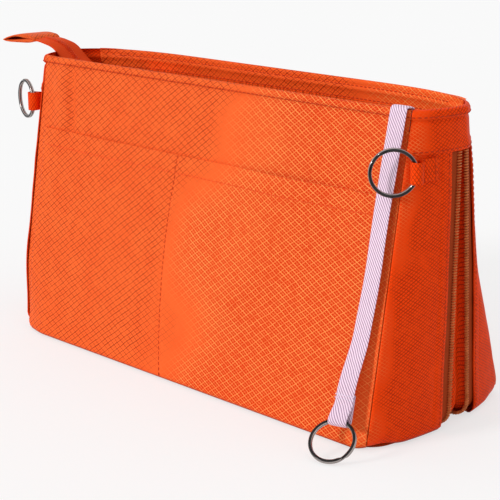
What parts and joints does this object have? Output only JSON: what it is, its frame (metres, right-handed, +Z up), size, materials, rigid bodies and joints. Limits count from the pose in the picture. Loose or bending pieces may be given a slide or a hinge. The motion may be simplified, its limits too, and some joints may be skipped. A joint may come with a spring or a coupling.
{
  "type": "purse organizer insert",
  "caption": "Zip-top fabric organizer insert that widens at its base by an expander zip, with slip pockets, corner rings and an elastic key strap.",
  "frame": {"origin": "middle of the front half's base panel, on the surface that the insert stands on", "axes": "+X along the length to the right end, +Y from the front face to the rear face, +Z up"},
  "size_m": [0.359, 0.1421, 0.1787],
  "materials": {
    "ripstop": "coated ripstop cloth with a diamond grid",
    "lining": "plain woven lining",
    "foam": "foam sheet",
    "board": "plastic sheet",
    "zip_tape": "woven zip tape",
    "zip_coil": "nylon coil",
    "metal": "polished nickel plate",
    "elastic": "ribbed elastic"
  },
  "bodies": {
    "front_half": {"front_panel": "ripstop", "front_slip_pocket": "ripstop", "front_stiffener": "foam", "front_lining": "lining", "front_facing": "ripstop", "front_inner_pocket": "lining", "right_end_front": "ripstop", "left_end_front": "ripstop", "right_yoke": "ripstop", "left_yoke": "ripstop", "base_front_panel": "ripstop", "base_front_board": "board", "base_front_lining": "lining", "front_expander_tape": "zip_tape", "front_expander_coil": "zip_coil", "expander_gusset": "ripstop", "front_zip_flap": "ripstop", "front_top_tape": "zip_tape", "front_top_coil": "zip_coil", "zip_tail_tape": "zip_tape", "right_ring_tab": "ripstop", "left_ring_tab": "ripstop", "key_strap_root": "elastic"},
    "rear_half": {"rear_panel": "ripstop", "rear_slip_pocket": "ripstop", "rear_stiffener": "foam", "rear_lining": "lining", "rear_facing": "ripstop", "rear_inner_pocket": "lining", "right_end_rear": "ripstop", "left_end_rear": "ripstop", "base_rear_panel": "ripstop", "base_rear_board": "board", "base_rear_lining": "lining", "rear_expander_tape": "zip_tape", "rear_expander_coil": "zip_coil", "rear_zip_flap": "ripstop", "rear_top_tape": "zip_tape", "rear_top_coil": "zip_coil"},
    "expander_slider": {"expander_slider": "metal"},
    "expander_puller": {"expander_puller": "metal"},
    "top_slider": {"top_slider": "metal"},
    "top_puller": {"top_puller": "metal"},
    "zip_tail": {"zip_tail_tab": "ripstop"},
    "right_ring": {"right_ring": "metal"},
    "left_ring": {"left_ring": "metal"},
    "key_strap": {"key_strap": "elastic"},
    "key_ring": {"key_ring": "metal"}
  },
  "joints": [
    {"name": "expander_fold", "type": "hinge", "parent": "front_half", "child": "rear_half", "pos_m": [0, 0.02925, 0.17], "axis": [-1, 0, 0], "range_deg": [0, 4.7], "deforming": ["expander_gusset", "right_yoke", "left_yoke"]},
    {"name": "expander_zip_slide", "type": "slide", "parent": "front_half", "child": "expander_slider", "axis": [0, 0, -1], "range_m": [0, 0.11], "deforming": ["front_expander_coil", "rear_expander_coil"]},
    {"name": "expander_pull", "type": "hinge", "parent": "expander_slider", "child": "expander_puller", "pos_m": [-0.1542, 0.03036, 0.1424], "axis": [0, 1, 0], "range_deg": [0, 90]},
    {"name": "top_zip_slide", "type": "slide", "parent": "front_half", "child": "top_slider", "axis": [1, 0, 0], "range_m": [0, 0.2], "deforming": ["front_zip_flap", "front_top_tape", "front_top_coil", "rear_zip_flap", "rear_top_tape", "rear_top_coil"]},
    {"name": "top_pull", "type": "hinge", "parent": "top_slider", "child": "top_puller", "pos_m": [-0.1082, 0.02975, 0.1583], "axis": [0, -1, 0], "range_deg": [0, 90]},
    {"name": "zip_tail_bend", "type": "hinge", "parent": "front_half", "child": "zip_tail", "pos_m": [-0.166, 0.02975, 0.1762], "axis": [0, 1, 0], "range_deg": [-55, 55]},
    {"name": "right_ring_swing", "type": "hinge", "parent": "front_half", "child": "right_ring", "pos_m": [0.149, -0.00385, 0.141], "axis": [0, 0, 1], "range_deg": [-4, 130]},
    {"name": "left_ring_swing", "type": "hinge", "parent": "front_half", "child": "left_ring", "pos_m": [-0.149, -0.00385, 0.141], "axis": [0, 0, 1], "range_deg": [-15, 90]},
    {"name": "key_strap_swing", "type": "hinge", "parent": "front_half", "child": "key_strap", "pos_m": [0.13357, -0.01134, 0.12044], "axis": [-1, 0, 0], "range_deg": [0, 90]},
    {"name": "key_ring_swing", "type": "hinge", "parent": "key_strap", "child": "key_ring", "pos_m": [0.1293, -0.03463, 0.01606], "axis": [-0.9613, -0.2756, 0], "range_deg": [0, 90]}
  ]
}
